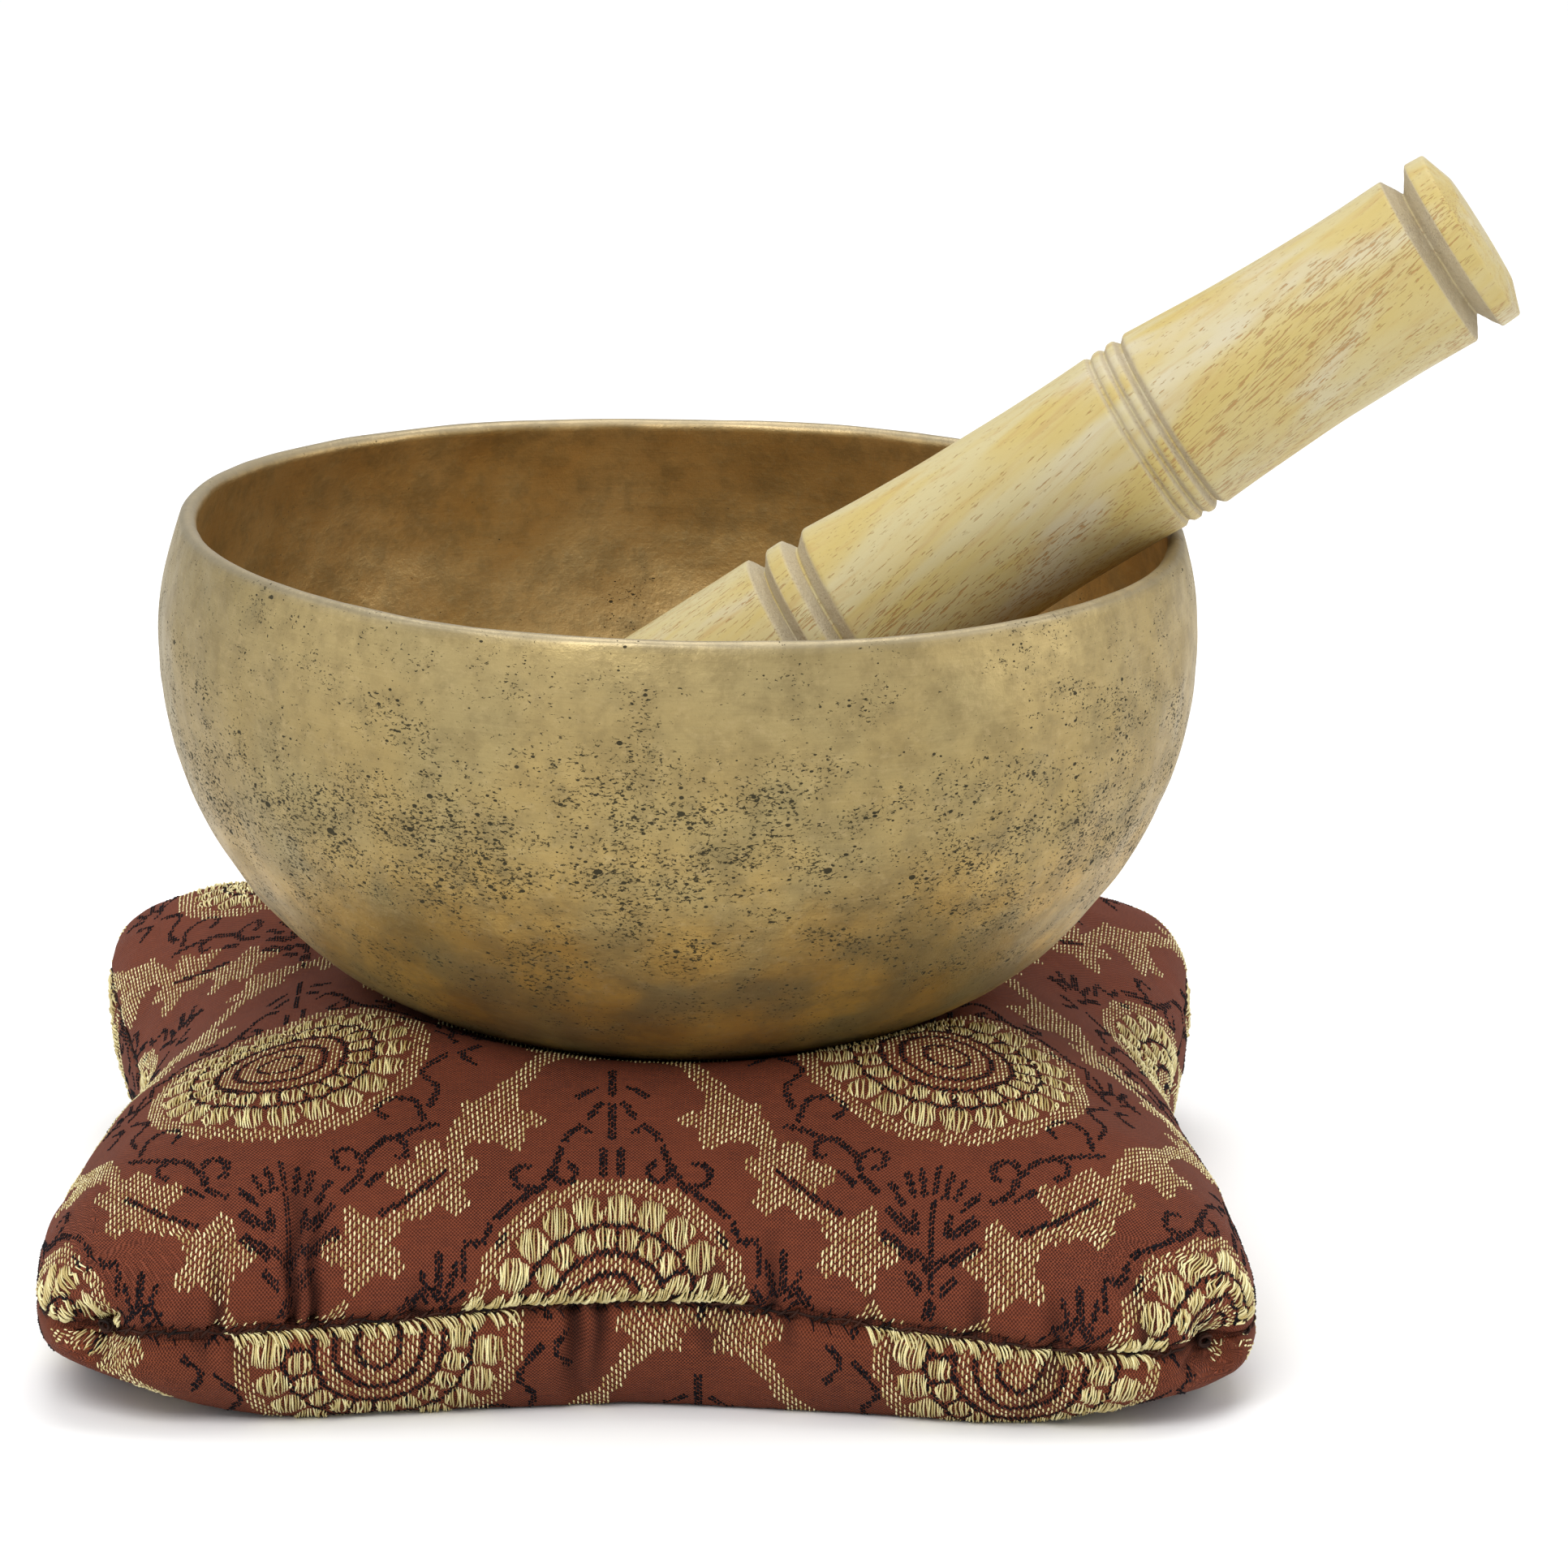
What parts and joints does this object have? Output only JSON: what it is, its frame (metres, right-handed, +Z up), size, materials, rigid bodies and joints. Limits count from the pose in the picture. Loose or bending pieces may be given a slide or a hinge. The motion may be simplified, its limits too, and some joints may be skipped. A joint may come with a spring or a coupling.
{
  "type": "singing bowl",
  "caption": "Hammered bronze singing bowl seated on a square brocade cushion, with a turned wooden striker leaning inside it.",
  "frame": {"origin": "middle of the cushion's flat underside, on the surface that it rests on", "axes": "+Z up, +X towards the side of the rim that the striker leans on, -Y towards the cushion's hand-closed seam"},
  "size_m": [0.1973, 0.1602, 0.1524],
  "materials": {
    "bronze": "satin",
    "pale_wood": "satin",
    "brocade": "matte",
    "wadding": "matte",
    "thread": "matte"
  },
  "bodies": {
    "cushion": {"cushion_top_panel": "brocade", "cushion_bottom_panel": "brocade", "cushion_filling": "wadding", "closing_seam_thread": "thread", "right_seam_thread": "thread", "back_seam_thread": "thread", "left_seam_thread": "thread", "corner_tie_back_right": "thread", "corner_tie_back_left": "thread", "corner_tie_front_left": "thread", "corner_tie_front_right": "thread"},
    "bowl": {"bowl": "bronze"},
    "striker": {"striker": "pale_wood"}
  },
  "joints": [
    {"name": "bowl_lift", "type": "slide", "parent": "cushion", "child": "bowl", "axis": [0, 0, 1], "range_m": [0, 0.12]},
    {"name": "striker_draw", "type": "slide", "parent": "bowl", "child": "striker", "axis": [0.7071, 0, 0.7071], "range_m": [0, 0.16]}
  ]
}
